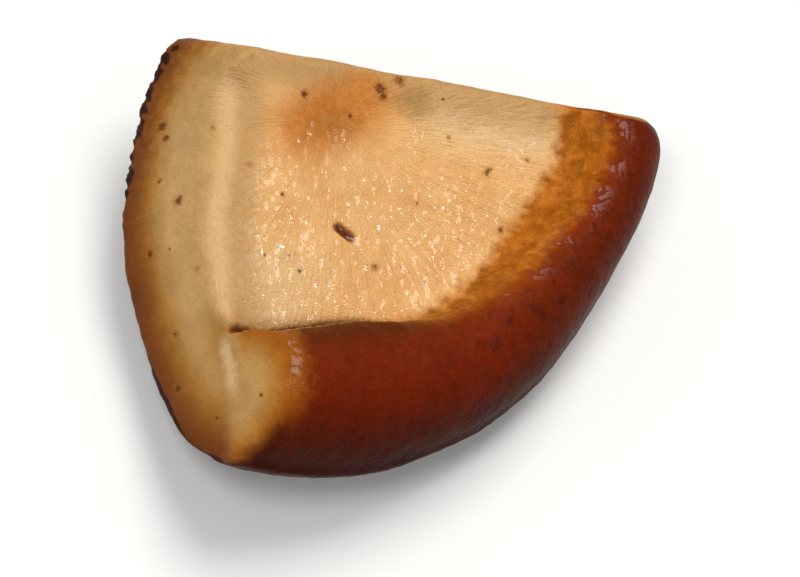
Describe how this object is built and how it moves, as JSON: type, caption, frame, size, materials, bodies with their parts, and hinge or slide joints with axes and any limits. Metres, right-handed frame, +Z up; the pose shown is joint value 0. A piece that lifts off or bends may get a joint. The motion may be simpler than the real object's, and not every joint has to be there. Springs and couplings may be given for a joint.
{
  "type": "cut shiitake cap piece",
  "caption": "Knife-cut wedge of a shiitake mushroom cap: glossy brown skin, inrolled margin, cream gill face and cut flesh, lying on its dome.",
  "frame": {"origin": "on the surface it lies on, under the middle of its bounding box", "axes": "+Z up from the surface it lies on, +Y towards the far tip of the brown margin along the longest side, -Y towards the pointed end of the long knife cut, +X towards the brown inrolled margin"},
  "size_m": [0.0384, 0.0452, 0.016],
  "materials": {
    "flesh_and_skin": "moist satin cream flesh with glossy dark brown skin"
  },
  "bodies": {
    "root": {"shiitake_cap_piece": "flesh_and_skin"}
  },
  "joints": []
}
